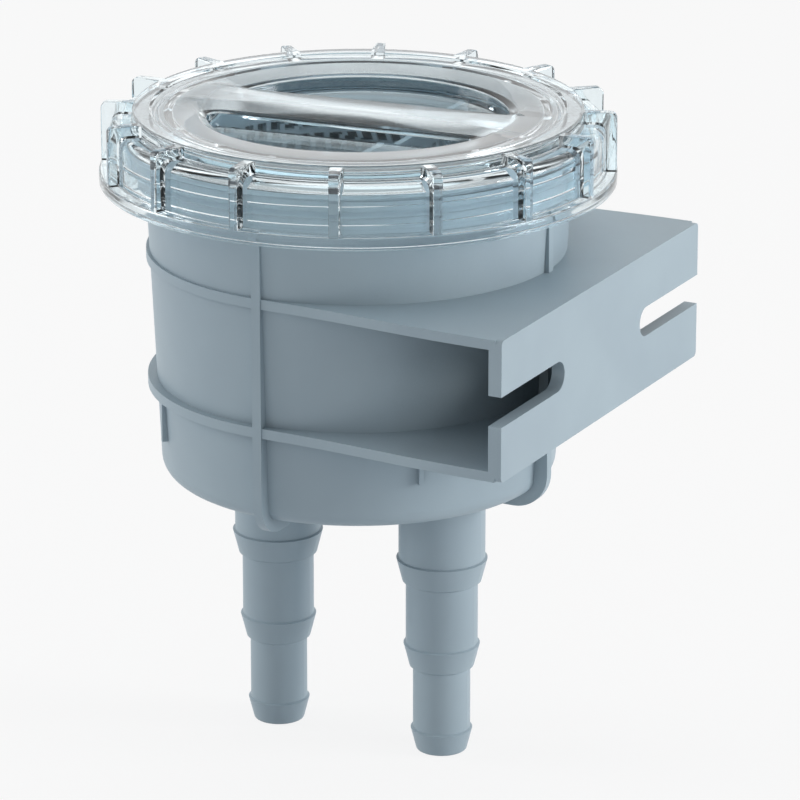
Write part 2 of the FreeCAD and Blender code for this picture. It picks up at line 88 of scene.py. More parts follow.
class Wiring:
    # small helper that adds nodes and joins them
    def __init__(self, tree):
        self.tree = tree

    def node(self, kind, **settings):
        made = self.tree.nodes.new(kind)
        for key, value in settings.items():
            setattr(made, key, value)
        return made

    def join(self, source, target):
        self.tree.links.new(source, target)


def calc(wiring, operation, first, *others):
    # a maths node; with more than two values, what two of them make meets the next
    result = first
    for other in others or (None,):
        made = wiring.node("ShaderNodeMath", operation=operation)
        for slot, value in enumerate((result, other)):
            if isinstance(value, (int, float)):
                made.inputs[slot].default_value = value
            elif value is not None:
                wiring.join(value, made.inputs[slot])
        result = made.outputs[0]
    return result


def within(wiring, value, limits):
    # 1 between the two limits, otherwise 0
    above = calc(wiring, "GREATER_THAN", value, limits[0])
    below = calc(wiring, "LESS_THAN", value, limits[1])
    return calc(wiring, "MULTIPLY", above, below)


def mapped(wiring, value, fromLimits, toLimits, **settings):
    # carries one range of values over to another
    made = wiring.node("ShaderNodeMapRange", **settings)
    made.inputs["From Min"].default_value, made.inputs["From Max"].default_value = fromLimits
    made.inputs["To Min"].default_value, made.inputs["To Max"].default_value = toLimits
    wiring.join(value, made.inputs["Value"])
    return made.outputs["Result"]


def vectorCalc(wiring, operation, first, second):
    made = wiring.node("ShaderNodeVectorMath", operation=operation)
    wiring.join(first, made.inputs[0])
    wiring.join(second, made.inputs["Scale" if operation == "SCALE" else 1])
    return made.outputs["Value" if operation == "DOT_PRODUCT" else 0]


def vectorOf(wiring, x=None, y=None, z=None):
    made = wiring.node("ShaderNodeCombineXYZ")
    for slot, value in enumerate((x, y, z)):
        if value is not None:
            wiring.join(value, made.inputs[slot])
    return made.outputs[0]


def noise(wiring, place, size, detail):
    made = wiring.node("ShaderNodeTexNoise")
    made.inputs["Scale"].default_value = size
    made.inputs["Detail"].default_value = detail
    wiring.join(place.outputs["Object"], made.inputs["Vector"])
    return made.outputs["Fac"]


def shades(wiring, value, low, high, places=(0.0, 1.0)):
    # two colours that turn into each other between the two places
    made = wiring.node("ShaderNodeValToRGB")
    first, last = made.color_ramp.elements
    first.position, last.position = places
    first.color = low
    last.color = high
    wiring.join(value, made.inputs["Fac"])
    return made.outputs["Color"]


def bumped(wiring, shader, value, strength, depth):
    bump = wiring.node("ShaderNodeBump")
    bump.inputs["Strength"].default_value = strength
    bump.inputs["Distance"].default_value = depth
    wiring.join(value, bump.inputs["Height"])
    wiring.join(bump.outputs["Normal"], shader.inputs["Normal"])


def either(wiring, share, first, second):
    # the first shader where the share is 0, the second where it is 1
    made = wiring.node("ShaderNodeMixShader")
    if isinstance(share, float):
        made.inputs[0].default_value = share
    else:
        wiring.join(share, made.inputs[0])
    wiring.join(first, made.inputs[1])
    wiring.join(second, made.inputs[2])
    return made.outputs[0]


def coloured(wiring, kind, colour):
    made = wiring.node(kind)
    made.inputs["Color"].default_value = colour
    return made


def placeInRound(wiring, place):
    # the way from the canister's axis outwards, how far it is, and the height
    outwards = wiring.node("ShaderNodeVectorMath", operation="MULTIPLY_ADD")
    outwards.inputs[1].default_value = (1, 1, 0)
    outwards.inputs[2].default_value = (-axisX * mm, 0, 0)
    wiring.join(place.outputs["Object"], outwards.inputs[0])
    away = wiring.node("ShaderNodeVectorMath", operation="LENGTH")
    wiring.join(outwards.outputs[0], away.inputs[0])
    height = wiring.node("ShaderNodeSeparateXYZ")
    wiring.join(place.outputs["Object"], height.inputs[0])
    return outwards.outputs[0], away.outputs["Value"], height.outputs[2]


def newMaterial(name):
    material = bpy.data.materials.new(name)
    material.use_nodes = True
    material.node_tree.nodes.clear()
    wiring = Wiring(material.node_tree)
    output = wiring.node("ShaderNodeOutputMaterial")
    return material, wiring, output


mouldedPlasticLook = {
    "light": linear(180, 197, 206),
    "deep": linear(173, 190, 200),
    "cloudSize": 34.0,
    "cloudDetail": 3.0,
    "cloudEdges": (0.35, 0.65),
    "roughness": (0.40, 0.50),
    "grainSize": 2600.0,
    "grainDetail": 2.0,
    "grainStrength": 0.35,
    "grainDepth": 0.012 * mm,
    "bend": 1.5,
    "gloss": 0.4,
    "hollowSamples": 8,
    "hollowReach": 30 * mm,
    "hollowEdges": (0.15, 0.75),  # how open a place is where the shade is deepest, and where it ends
    "hollowShade": 0.62,  # how dark the painted shade in the deepest hollow gets, 1 is no darker
    "insideFacing": -10 * mm,  # faces below this look towards the axis
    "insideHeights": (-30 * mm, 40 * mm),
    "insideRadius": 45.5 * mm,
    "insideShade": 0.25,  # painted shade: the same for the bowl's inner wall, darker all over
}


def mouldedPlastic(name, look):
    material, wiring, output = newMaterial(name)
    shader = wiring.node("ShaderNodeBsdfPrincipled")
    shader.inputs["IOR"].default_value = look["bend"]
    shader.inputs["Specular IOR Level"].default_value = look["gloss"]
    place = wiring.node("ShaderNodeTexCoord")
    cloud = noise(wiring, place, look["cloudSize"], look["cloudDetail"])
    tint = shades(wiring, cloud, look["deep"], look["light"], look["cloudEdges"])
    # painted shade: the colour darkens in the piece's own hollows, where little light gets in
    hollow = wiring.node("ShaderNodeAmbientOcclusion", only_local=True, samples=look["hollowSamples"])
    hollow.inputs["Distance"].default_value = look["hollowReach"]
    lit = mapped(wiring, hollow.outputs["AO"], look["hollowEdges"], (look["hollowShade"], 1.0))
    # painted shade on the bowl's inner wall too, whose faces look towards the axis
    outwards, away, height = placeInRound(wiring, place)
    facing = vectorCalc(wiring, "DOT_PRODUCT", outwards, place.outputs["Normal"])
    inwards = calc(wiring, "LESS_THAN", facing, look["insideFacing"])
    near = calc(wiring, "LESS_THAN", away, look["insideRadius"])
    inside = calc(wiring, "MULTIPLY", inwards, near, within(wiring, height, look["insideHeights"]))
    dimmed = calc(wiring, "ADD", calc(wiring, "MULTIPLY", inside, look["insideShade"] - 1), 1.0)
    shaded = vectorCalc(wiring, "SCALE", tint, calc(wiring, "MULTIPLY", lit, dimmed))
    wiring.join(shaded, shader.inputs["Base Color"])
    wiring.join(mapped(wiring, cloud, (0.0, 1.0), look["roughness"]), shader.inputs["Roughness"])
    grain = noise(wiring, place, look["grainSize"], look["grainDetail"])
    bumped(wiring, shader, grain, look["grainStrength"], look["grainDepth"])
    wiring.join(shader.outputs["BSDF"], output.inputs["Surface"])
    return material


# painted light: the basket is the housing's plastic, made paler so that its lattice looks lit inside the dim
# bowl
basketPlasticLook = {
    **mouldedPlasticLook,
    "light": linear(206, 220, 228),
    "deep": linear(199, 214, 223),
    "cloudSize": 60.0,
    "hollowReach": 60 * mm,
    "hollowShade": 0.55,
    "insideShade": 1.0,
}


clearPlasticLook = {
    "tint": linear(238, 247, 250),
    "bend": 1.47,
    "roughness": (0.01, 0.025),
    "skirtRoughness": 0.05,
    "skirtTop": (42.0 * mm, 43.6 * mm),  # heights between which the skirt's duller finish ends
    "ringRoughness": 0.40,
    "ringRadii": (34.6 * mm, 43.3 * mm),  # the plate's underside is dull between these radii
    "ringHeights": (43.4 * mm, 43.8 * mm),
    "barRoughness": 0.22,  # within that ring and above it
    "waveSize": 55.0,
    "waveDetail": 1.5,
    "waveStrength": 0.5,
    "waveDepth": 0.02 * mm,
    "shade": linear(184, 195, 202),
    "caughtAfter": (11.5, 5.5),  # turns of the light, in the skirt and in the top
    "freed": linear(236, 242, 245),
}


def clearPlastic(name, look):
    material, wiring, output = newMaterial(name)
    shader = wiring.node("ShaderNodeBsdfPrincipled")
    shader.inputs["Base Color"].default_value = look["tint"]
    shader.inputs["Transmission Weight"].default_value = 1.0
    shader.inputs["IOR"].default_value = look["bend"]
    place = wiring.node("ShaderNodeTexCoord")
    wave = noise(wiring, place, look["waveSize"], look["waveDetail"])
    bumped(wiring, shader, wave, look["waveStrength"], look["waveDepth"])
    away, height = placeInRound(wiring, place)[1:]
    polish = mapped(wiring, wave, (0.0, 1.0), look["roughness"])
    skirt = mapped(wiring, height, look["skirtTop"], (look["skirtRoughness"], 0.0))
    ring = within(wiring, away, look["ringRadii"])
    under = within(wiring, height, look["ringHeights"])
    dull = calc(wiring, "MULTIPLY", ring, under, look["ringRoughness"])
    middle = calc(wiring, "LESS_THAN", away, look["ringRadii"][0])
    above = calc(wiring, "GREATER_THAN", height, look["ringHeights"][1])
    satin = calc(wiring, "MULTIPLY", middle, above, look["barRoughness"])
    wiring.join(calc(wiring, "MAXIMUM", polish, skirt, dull, satin), shader.inputs["Roughness"])
    # light caught inside the moulding is let straight out after some turns
    path = wiring.node("ShaderNodeLightPath")
    turns = mapped(wiring, height, look["skirtTop"], look["caughtAfter"])
    caught = calc(wiring, "GREATER_THAN", path.outputs["Ray Depth"], turns)
    freed = coloured(wiring, "ShaderNodeBsdfTransparent", look["freed"])
    seen = either(wiring, caught, shader.outputs["BSDF"], freed.outputs["BSDF"])
    # and its shadow is a pale one
    shade = coloured(wiring, "ShaderNodeBsdfTransparent", look["shade"])
    made = either(wiring, path.outputs["Is Shadow Ray"], seen, shade.outputs["BSDF"])
    wiring.join(made, output.inputs["Surface"])
    return material


sealRubberLook = {
    "colour": linear(84, 88, 93),
    "worn": linear(98, 102, 107),
    "innerSide": linear(150, 159, 166),
    "innerRadius": 44.7 * mm,
    "innerFade": (40.9 * mm, 41.4 * mm),  # heights between which the paler inner side ends
    "roughness": (0.22, 0.34),
    "speckSize": 900.0,
    "speckDetail": 2.0,
    "speckStrength": 0.3,
    "speckDepth": 0.02 * mm,
}


def sealRubber(name, look):
    material, wiring, output = newMaterial(name)
    shader = wiring.node("ShaderNodeBsdfPrincipled")
    place = wiring.node("ShaderNodeTexCoord")
    speck = noise(wiring, place, look["speckSize"], look["speckDetail"])
    # the side that faces the bowl is paler below its upper edge
    away, height = placeInRound(wiring, place)[1:]
    inside = calc(wiring, "LESS_THAN", away, look["innerRadius"])
    lower = mapped(wiring, height, look["innerFade"], (1.0, 0.0))
    colours = wiring.node("ShaderNodeMix", data_type="RGBA")
    share, rubber, pale = colours.inputs[0], colours.inputs[6], colours.inputs[7]
    wiring.join(calc(wiring, "MULTIPLY", inside, lower), share)
    wiring.join(shades(wiring, speck, look["colour"], look["worn"]), rubber)
    pale.default_value = look["innerSide"]
    wiring.join(colours.outputs[2], shader.inputs["Base Color"])
    wiring.join(mapped(wiring, speck, (0.0, 1.0), look["roughness"]), shader.inputs["Roughness"])
    bumped(wiring, shader, speck, look["speckStrength"], look["speckDepth"])
    wiring.join(shader.outputs["BSDF"], output.inputs["Surface"])
    return material


housingPlastic = mouldedPlastic("housingPlastic", mouldedPlasticLook)
basketPlastic = mouldedPlastic("basketPlastic", basketPlasticLook)
lidPlastic = clearPlastic("lidPlastic", clearPlasticLook)
ringRubber = sealRubber("ringRubber", sealRubberLook)
print("stage: materials made")


def newTree(name, inputs):
    # inputs: name -> (socket type, default)
    tree = bpy.data.node_groups.new(name, "GeometryNodeTree")
    tree.interface.new_socket("Geometry", in_out="INPUT", socket_type="NodeSocketGeometry")
    tree.interface.new_socket("Geometry", in_out="OUTPUT", socket_type="NodeSocketGeometry")
    for label, (kind, default) in inputs.items():
        socket = tree.interface.new_socket(label, in_out="INPUT", socket_type=kind)
        if default is not None:
            socket.default_value = default
    wiring = Wiring(tree)
    return tree, wiring, wiring.node("NodeGroupInput"), wiring.node("NodeGroupOutput")


def runTree(name, tree, mesh, values):
    # runs a tree on a mesh and returns the result as a plain mesh
    thing = newObject(name, mesh)
    modifier = thing.modifiers.new("shape", "NODES")
    modifier.node_group = tree
    sockets = [item for item in tree.interface.items_tree if item.in_out == "INPUT"]
    identifiers = {item.name: item.identifier for item in sockets}
    for label, value in values.items():
        modifier[identifiers[label]] = value
    graph = bpy.context.evaluated_depsgraph_get()
    made = bpy.data.meshes.new_from_object(thing.evaluated_get(graph), depsgraph=graph)
    thing.modifiers.remove(modifier)
    bpy.data.objects.remove(thing)
    made.name = name
    return made


def finishTree(wiring, geometry, group, output):
    realized = wiring.node("GeometryNodeRealizeInstances")
    finish = wiring.node("GeometryNodeSetMaterial")
    wiring.join(geometry, realized.inputs[0])
    wiring.join(realized.outputs[0], finish.inputs["Geometry"])
    wiring.join(group.outputs["Finish"], finish.inputs["Material"])
    wiring.join(finish.outputs[0], output.inputs[0])


def aroundAxisTree():
    # repeats the piece it is given round the canister's axis
    tree, wiring, group, output = newTree("aroundAxis", {
        "Count": ("NodeSocketInt", 16),
        "First Angle": ("NodeSocketFloat", 0.0),
        "Axis X": ("NodeSocketFloat", 0.0),
        "Finish": ("NodeSocketMaterial", None),
    })
    given = group.outputs
    points = wiring.node("GeometryNodePoints")
    wiring.join(given["Count"], points.inputs["Count"])
    wiring.join(vectorOf(wiring, given["Axis X"]), points.inputs["Position"])
    index = wiring.node("GeometryNodeInputIndex").outputs[0]
    share = calc(wiring, "DIVIDE", index, given["Count"])
    swept = calc(wiring, "MULTIPLY", share, 2 * math.pi)
    angle = calc(wiring, "ADD", swept, given["First Angle"])
    copies = wiring.node("GeometryNodeInstanceOnPoints")
    wiring.join(points.outputs[0], copies.inputs["Points"])
    wiring.join(given["Geometry"], copies.inputs["Instance"])
    wiring.join(vectorOf(wiring, z=angle), copies.inputs["Rotation"])
    finishTree(wiring, copies.outputs[0], group, output)
    return tree


def threadTree():
    # a round ridge that climbs round the canister's axis, thin at both ends
    tree, wiring, group, output = newTree("threadRidge", {
        "Radius": ("NodeSocketFloat", 0.05),
        "Turns": ("NodeSocketFloat", 2.0),
        "Pitch": ("NodeSocketFloat", 0.004),
        "Start Height": ("NodeSocketFloat", 0.0),
        "Width": ("NodeSocketFloat", 0.002),
        "Depth": ("NodeSocketFloat", 0.001),
        "Outwards": ("NodeSocketFloat", 1.0),
        "Start Angle": ("NodeSocketFloat", 0.0),
        "Axis X": ("NodeSocketFloat", 0.0),
        "Finish": ("NodeSocketMaterial", None),
    })
    given = group.outputs
    alongCount, acrossCount = 400, 9  # the ridge's cross-sections, and the corners of each
    fadeRate = 16.0  # its depth is full from a sixteenth of its length on
    sunk = 0.3 * mm  # its foot lies this far inside the wall
    grid = wiring.node("GeometryNodeMeshGrid")
    grid.inputs["Vertices X"].default_value = alongCount
    grid.inputs["Vertices Y"].default_value = acrossCount + 1  # the last one meets the first
    index = wiring.node("GeometryNodeInputIndex").outputs[0]
    section = calc(wiring, "FLOOR", calc(wiring, "DIVIDE", index, acrossCount + 1))
    share = calc(wiring, "DIVIDE", section, alongCount - 1)
    column = calc(wiring, "FLOORED_MODULO", index, acrossCount + 1)
    corner = calc(wiring, "FLOORED_MODULO", column, acrossCount)
    side = calc(wiring, "SUBTRACT", calc(wiring, "MULTIPLY", corner, 2 / (acrossCount - 1)), 1.0)
    swept = calc(wiring, "MULTIPLY", share, given["Turns"])
    angle = calc(wiring, "ADD", calc(wiring, "MULTIPLY", swept, 2 * math.pi), given["Start Angle"])
    climb = calc(wiring, "ADD", calc(wiring, "MULTIPLY", swept, given["Pitch"]), given["Start Height"])
    nearEnd = calc(wiring, "MINIMUM", share, calc(wiring, "SUBTRACT", 1.0, share))
    fade = calc(wiring, "MINIMUM", calc(wiring, "MULTIPLY", nearEnd, fadeRate), 1.0)
    wave = calc(wiring, "COSINE", calc(wiring, "MULTIPLY", side, math.pi))
    bump = calc(wiring, "ADD", calc(wiring, "MULTIPLY", wave, 0.5), 0.5)
    proud = calc(wiring, "MULTIPLY", bump, given["Depth"], fade)
    rise = calc(wiring, "MULTIPLY", calc(wiring, "SUBTRACT", proud, sunk), given["Outwards"])
    radius = calc(wiring, "ADD", rise, given["Radius"])
    along = calc(wiring, "MULTIPLY", radius, calc(wiring, "COSINE", angle))
    x = calc(wiring, "ADD", along, given["Axis X"])
    y = calc(wiring, "MULTIPLY", radius, calc(wiring, "SINE", angle))
    z = calc(wiring, "ADD", climb, calc(wiring, "MULTIPLY", side, 0.5, given["Width"]))
    setPlace = wiring.node("GeometryNodeSetPosition")
    wiring.join(grid.outputs["Mesh"], setPlace.inputs["Geometry"])
    wiring.join(vectorOf(wiring, x, y, z), setPlace.inputs["Position"])
    welded = wiring.node("GeometryNodeMergeByDistance")
    welded.inputs["Distance"].default_value = weldGap
    wiring.join(setPlace.outputs[0], welded.inputs["Geometry"])
    finishTree(wiring, welded.outputs[0], group, output)
    return tree


def capped(mesh):
    # closes open ends and turns the faces outwards
    form = bmesh.new()
    form.from_mesh(mesh)
    bmesh.ops.remove_doubles(form, verts=form.verts, dist=weldGap)
    bmesh.ops.holes_fill(form, edges=[e for e in form.edges if e.is_boundary], sides=0)
    bmesh.ops.recalc_face_normals(form, faces=form.faces)
    form.to_mesh(mesh)
    form.free()
    return mesh


def roundedProfile(stations):
    # stations: (radius, height, corner rounding); gives the polyline with its corners rounded
    points = []
    count = len(stations)
    most = 0.49  # a rounding takes less than half of the side it starts on
    stepDegrees = 12
    for k, (r, z, rounding) in enumerate(stations):
        here = Vector((r, z))
        if rounding <= 0:
            points.append(here)
            continue
        before = Vector(stations[k - 1][:2]) - here
        after = Vector(stations[(k + 1) % count][:2]) - here
        half = before.angle(after) / 2
        back = min(rounding / math.tan(half), before.length * most, after.length * most)
        radius = back * math.tan(half)
        middle = (before.normalized() + after.normalized()).normalized()
        centre = here + middle * (radius / math.sin(half))
        first = here + before.normalized() * back - centre
        last = here + after.normalized() * back - centre
        swing = first.angle_signed(last)
        steps = max(3, int(math.degrees(abs(swing)) / stepDegrees))
        for s in range(steps + 1):
            turned = first.copy()
            turned.rotate(Matrix.Rotation(-swing * s / steps, 2))
            points.append(centre + turned)
    return points


def lathe(name, stations, segments):
    points = roundedProfile(stations)
    count = len(points)
    vertices, faces = [], []
    for s in range(segments):
        a = 2 * math.pi * s / segments
        vertices += [(axisX + p.x * math.cos(a), p.x * math.sin(a), p.y) for p in points]
    for s in range(segments):
        t = (s + 1) % segments
        for k in range(count):
            n = (k + 1) % count
            faces.append((s * count + k, t * count + k, t * count + n, s * count + n))
    return meshFrom(name, vertices, faces, dropSlivers=True)


def capOutline(radius, chord, corner, cornerSteps=8, arcSteps=72):
    # a disc cut off along y = -chord, keeping the side towards -Y, corners rounded
    reach = math.sqrt((radius - corner) ** 2 - (chord + corner) ** 2)
    centre = Vector((reach, -chord - corner))
    mirrored = Vector((-reach, -chord - corner))
    end = math.atan2(centre.y, centre.x)

    def arc(middle, size, start, sweep, steps):
        angles = [start + sweep * s / steps for s in range(steps + 1)]
        return [middle + Vector((math.cos(a), math.sin(a))) * size for a in angles]

    points = arc(centre, corner, math.pi / 2, end - math.pi / 2, cornerSteps)
    points += arc(Vector((0, 0)), radius, end, -math.pi - 2 * end, arcSteps)[1:-1]
    points += arc(mirrored, corner, -math.pi - end, end - math.pi / 2, cornerSteps)
    return points


def loftedCap(name, sections, degrees):
    # sections: (outline, height), from below upwards, all with the same number of points
    turn = Matrix.Rotation(math.radians(degrees), 2)
    vertices, faces = [], []
    count = len(sections[0][0])
    for outline, height in sections:
        for p in outline:
            q = turn @ p
            vertices.append((axisX + q.x, q.y, height))
    for level in range(len(sections) - 1):
        low, high = level * count, (level + 1) * count
        for k in range(count):
            n = (k + 1) % count
            faces.append((low + k, low + n, high + n, high + k))
    faces.append(tuple(reversed(range(count))))
    faces.append(tuple(range((len(sections) - 1) * count, len(sections) * count)))
    return meshFrom(name, vertices, faces)


def blockMesh(name, low, high):
    # a box between two opposite corners
    form = bmesh.new()
    bmesh.ops.create_cube(form, size=1.0)
    for v in form.verts:
        v.co = Vector([low[i] + (v.co[i] + 0.5) * (high[i] - low[i]) for i in range(3)]) * mm
    bmesh.ops.recalc_face_normals(form, faces=form.faces)
    mesh = bpy.data.meshes.new(name)
    form.to_mesh(mesh)
    form.free()
    return mesh


def combine(name, base, steps):
    # base mesh, then (operation, mesh) pairs, as boolean modifiers that are applied at once
    thing = newObject(name, base)
    helpers = []
    for operation, mesh in steps:
        helper = newObject(name + "Tool", mesh)
        helpers.append(helper)
        modifier = thing.modifiers.new("boolean", "BOOLEAN")
        modifier.operation = operation
        modifier.solver = "MANIFOLD"
        modifier.object = helper
    graph = bpy.context.evaluated_depsgraph_get()
    made = bpy.data.meshes.new_from_object(thing.evaluated_get(graph), depsgraph=graph)
    bpy.data.objects.remove(thing)
    for helper in helpers:
        bpy.data.objects.remove(helper)
    made.name = name
    return made


aroundAxis = aroundAxisTree()
threadRidge = threadTree()
empty = bpy.data.meshes.new("empty")  # the thread tree needs no mesh to start from

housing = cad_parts["housing"]
housing.data.materials.clear()
housing.data.materials.append(housingPlastic)

neckThreadSizes = {
    "Radius": 48.8 * mm,
    "Turns": 2.0,
    "Pitch": 4.0 * mm,
    "Start Height": 33.0 * mm,
    "Width": 2.2 * mm,
    "Depth": 1.5 * mm,
    "Outwards": 1.0,
    "Start Angle": 0.6,
    "Axis X": axisX * mm,
}

ridge = runTree("neckThread", threadRidge, empty, {**neckThreadSizes, "Finish": housingPlastic})
neckThread = newObject("neck_thread", capped(ridge))
smoothBelow(neckThread, 30)
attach(neckThread, "housing")
print("stage: housing dressed", len(neckThread.data.polygons))


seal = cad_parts["seal_ring"]
seal.data.materials.clear()
seal.data.materials.append(ringRubber)


lidSizes = {
    "top": 46.4, "plateTop": 46.0, "plateBase": 43.6, "shoulder": 43.6, "shoulderBase": 41.2,
    "rim": 48.7, "dish": 44.4, "dishEdge": 45.0, "skirt": 53.6, "skirtInner": 51.2,
    "flange": 56.0, "flangeTop": 33.1, "base": 30.2, "grooveTop": 42.06, "grooveOuter": 48.7,
    "lipOuter": 44.1, "lipInner": 43.1, "lipBase": 40.8,
    "collarOuter": 42.0, "collarInner": 40.4, "collarBase": 37.6,
    "pocketRadius": 32.7, "pocketChord": 8.8, "pocketCorner": 2.5, "pocketFloor": 41.0,
    "pocketWall": 2.2, "pocketEdge": 0.2, "cupEdge": 0.8,
    "lipDrop": 1.6, "lipSlope": 3.3,
    "barTurn": 6.0,  # degrees between the grip bar and the X axis
    "finCount": 16, "finThickness": 2.1, "finRoot": 3.1, "finOuter": 55.85, "finTop": 46.2,
    "finRound": 1.5, "finRoundSteps": 6, "finEdge": 0.3,
    "finSunk": 1.2, "finFoot": 1.4,  # how far it reaches into the rim, and into the flange
    "notchWidth": 2.0, "notchHeight": 1.6,
    "spare": 0.6,  # how far a cutting piece stands out
    "cupOverlap": 0.4,
    "segments": 288,
}

lidThreadSizes = {
    "Radius": 51.2 * mm,
    "Turns": 2.0,
    "Pitch": 4.0 * mm,
    "Start Height": 31.2 * mm,
    "Width": 2.5 * mm,
    "Depth": 0.6 * mm,
    "Outwards": -1.0,
    "Start Angle": 0.6,
    "Axis X": axisX * mm,
}


def lidShell(s):
    # radius, height and rounding of each corner, from the top's middle round to the plate's underside
    return lathe("lidShell", [
        (0.0, s["plateTop"], 0),
        (s["dish"], s["plateTop"], 0.4),
        (s["dishEdge"], s["top"], 0.3),
        (s["rim"], s["top"], 0.5),
        (s["rim"], s["shoulder"], 0.35),
        (s["skirt"], s["shoulder"], 2.2),
        (s["skirt"], s["flangeTop"], 0.35),
        (s["flange"], s["flangeTop"], 0.5),
        (s["flange"], s["base"], 0.5),
        (s["skirtInner"], s["base"], 0.3),
        (s["skirtInner"], s["shoulderBase"], 0.4),
        (s["grooveOuter"], s["shoulderBase"], 0.2),
        (s["grooveOuter"], s["grooveTop"], 0.2),
        (s["lipOuter"], s["grooveTop"], 0.15),
        (s["lipOuter"], s["lipBase"], 0.2),
        (s["lipInner"], s["lipBase"], 0.2),
        (s["lipInner"], s["plateBase"], 0.15),
        (s["collarOuter"], s["plateBase"], 0.15),
        (s["collarOuter"], s["collarBase"], 0.3),
        (s["collarInner"], s["collarBase"], 0.3),
        (s["collarInner"], s["plateBase"], 0.3),
        (0.0, s["plateBase"], 0),
    ], s["segments"])


def finMesh(s):
    # one fin at angle 0, its outline drawn in the upright plane
    inner, outer = s["rim"] - s["finSunk"], s["finOuter"]
    low, top, r = s["flangeTop"] - s["finFoot"], s["finTop"], s["finRound"]
    outline = [(inner, low), (outer, low)]
    for k in range(s["finRoundSteps"] + 1):
        a = math.pi / 2 * k / s["finRoundSteps"]
        outline.append((outer - r + r * math.cos(a), top - r + r * math.sin(a)))
    outline.append((inner, top))

    def half(x):
        # a fin is a little thicker at its root on the rim
        share = (outer - x) / (outer - s["rim"])
        return (s["finThickness"] + share * (s["finRoot"] - s["finThickness"])) / 2

    vertices = [(x, -half(x), z) for x, z in outline] + [(x, half(x), z) for x, z in outline]
    count = len(outline)
    faces = [tuple(range(count)), tuple(reversed(range(count, 2 * count)))]
    faces += [(k, (k + 1) % count, (k + 1) % count + count, k + count) for k in range(count)]
    mesh = meshFrom("fin", vertices, faces)
    form = bmesh.new()
    form.from_mesh(mesh)
    sides = [e for e in form.edges if e.verts[0].co.y * e.verts[1].co.y > 0]
    bmesh.ops.bevel(form, geom=sides, offset=s["finEdge"] * mm, segments=2, profile=0.5, affect="EDGES")
    form.to_mesh(mesh)
    form.free()
    return mesh


def pocketOutline(s, wider, sharper=0.0):
    # the finger pocket's shape, grown outwards, its corners by that much less
    corner = s["pocketCorner"] + wider - sharper
    return capOutline(s["pocketRadius"] + wider, s["pocketChord"] - wider, corner)


def pocketMesh(s, degrees):
    # what a finger pocket takes out of the lid, with its sloped lip
    edge = s["pocketEdge"]
    spread = s["lipSlope"] * (1 + s["spare"] / s["lipDrop"])
    return loftedCap("pocket", [
        (pocketOutline(s, -edge), s["pocketFloor"]),
        (pocketOutline(s, 0.0), s["pocketFloor"] + edge),
        (pocketOutline(s, 0.0), s["plateTop"] - s["lipDrop"]),
        (pocketOutline(s, spread, spread / 2), s["plateTop"] + s["spare"]),
    ], degrees)


def cupMesh(s, degrees):
    # the walls and floor of a finger pocket, below the plate
    wall, edge = s["pocketWall"], s["cupEdge"]
    base = s["pocketFloor"] - wall
    return loftedCap("cup", [
        (pocketOutline(s, wall - edge), base),
        (pocketOutline(s, wall), base + edge),
        (pocketOutline(s, wall), s["plateBase"] + s["cupOverlap"]),
    ], degrees)


def makeLid(s):
    around = {"Count": s["finCount"], "First Angle": 0.0, "Axis X": axisX * mm, "Finish": lidPlastic}
    fins = runTree("fins", aroundAxis, finMesh(s), around)
    halfNotch = s["notchWidth"] / 2
    low = (s["collarInner"] - s["spare"], -halfNotch, s["collarBase"] - 1)
    high = (s["collarOuter"] + s["spare"], halfNotch, s["collarBase"] + s["notchHeight"])
    notches = runTree("notches", aroundAxis, blockMesh("notch", low, high), around)
    ridge = runTree("lidThread", threadRidge, empty, {**lidThreadSizes, "Finish": lidPlastic})
    made = combine("lidForm", lidShell(s), [
        ("UNION", fins),
        ("UNION", cupMesh(s, s["barTurn"])),
        ("UNION", cupMesh(s, s["barTurn"] + 180)),
        ("UNION", capped(ridge)),
        ("DIFFERENCE", pocketMesh(s, s["barTurn"])),
        ("DIFFERENCE", pocketMesh(s, s["barTurn"] + 180)),
        ("DIFFERENCE", notches),
    ])
    return allIn(made, lidPlastic)


lid = newObject("clear_lid", makeLid(lidSizes))
smoothBelow(lid, 32)
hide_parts("lid")
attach(lid, "lid")
print("stage: lid made", len(lid.data.polygons))


basketSizes = {
    "radius": 39.6, "chord": 8.0, "wall": 1.5, "corner": 3.0, "arcSteps": 180,
    "base": -26.0, "top": 37.8, "rimHeight": 3.0, "footHeight": 2.6,
    "hole": 2.3, "pitch": 3.6,
    "curvedMargin": 2.2, "flatMargin": 2.0,  # plain wall beside the corners
    "floorMargin": 3.0, "floorChordMargin": 1.2,
    "floorKeep": 4.2,  # holes nearer than this to the floor's round edge are left out
}


